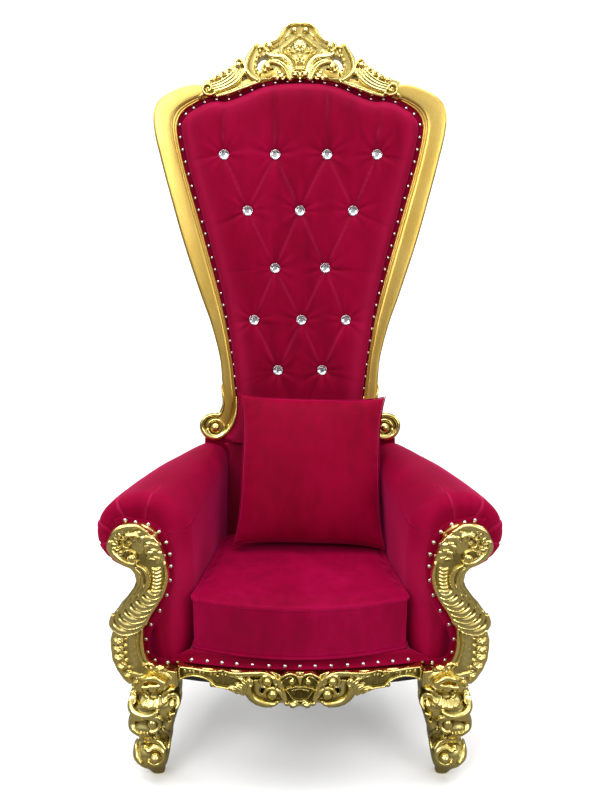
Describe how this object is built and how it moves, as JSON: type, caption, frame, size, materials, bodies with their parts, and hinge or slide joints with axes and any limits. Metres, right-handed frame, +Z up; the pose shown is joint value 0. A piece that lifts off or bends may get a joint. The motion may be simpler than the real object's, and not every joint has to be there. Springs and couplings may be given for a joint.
{
  "type": "high-back throne chair",
  "caption": "High-back rococo throne chair with a gilded carved frame, a pierced crest, a tufted back, wide rolled arms, a box seat cushion and a throw pillow.",
  "frame": {"origin": "on the floor, under the middle of the whole chair's box", "axes": "+Z up, -Y towards where the sitter faces, +X to the right of someone facing the chair"},
  "size_m": [0.9262, 0.738, 1.7997],
  "materials": {
    "gilt": "gold leaf, glossy on the carving and satin on the flat of the back frame",
    "velvet": "crimson velvet with a short pile",
    "cushion_velvet": "crimson velvet with a short pile",
    "nickel": "polished silver-white metal of the nailheads and the button rims",
    "crystal": "cut crystal in a silver rim"
  },
  "bodies": {
    "root": {"back_frame": "gilt", "crest": "gilt", "back_pad": "velvet", "rear_panel": "velvet", "crystal_button_01": "crystal", "crystal_button_02": "crystal", "crystal_button_03": "crystal", "crystal_button_04": "crystal", "crystal_button_05": "crystal", "crystal_button_06": "crystal", "crystal_button_07": "crystal", "crystal_button_08": "crystal", "crystal_button_09": "crystal", "crystal_button_10": "crystal", "crystal_button_11": "crystal", "crystal_button_12": "crystal", "crystal_button_13": "crystal", "crystal_button_14": "crystal", "arm_left": "velvet", "arm_right": "velvet", "arm_post_left": "gilt", "arm_post_right": "gilt", "front_leg_left": "gilt", "front_leg_right": "gilt", "rear_leg_left": "gilt", "rear_leg_right": "gilt", "side_rail_left": "gilt", "side_rail_right": "gilt", "rear_rail": "gilt", "apron": "gilt", "seat_base": "velvet", "seat_cushion": "cushion_velvet", "throw_pillow": "cushion_velvet"}
  },
  "joints": []
}
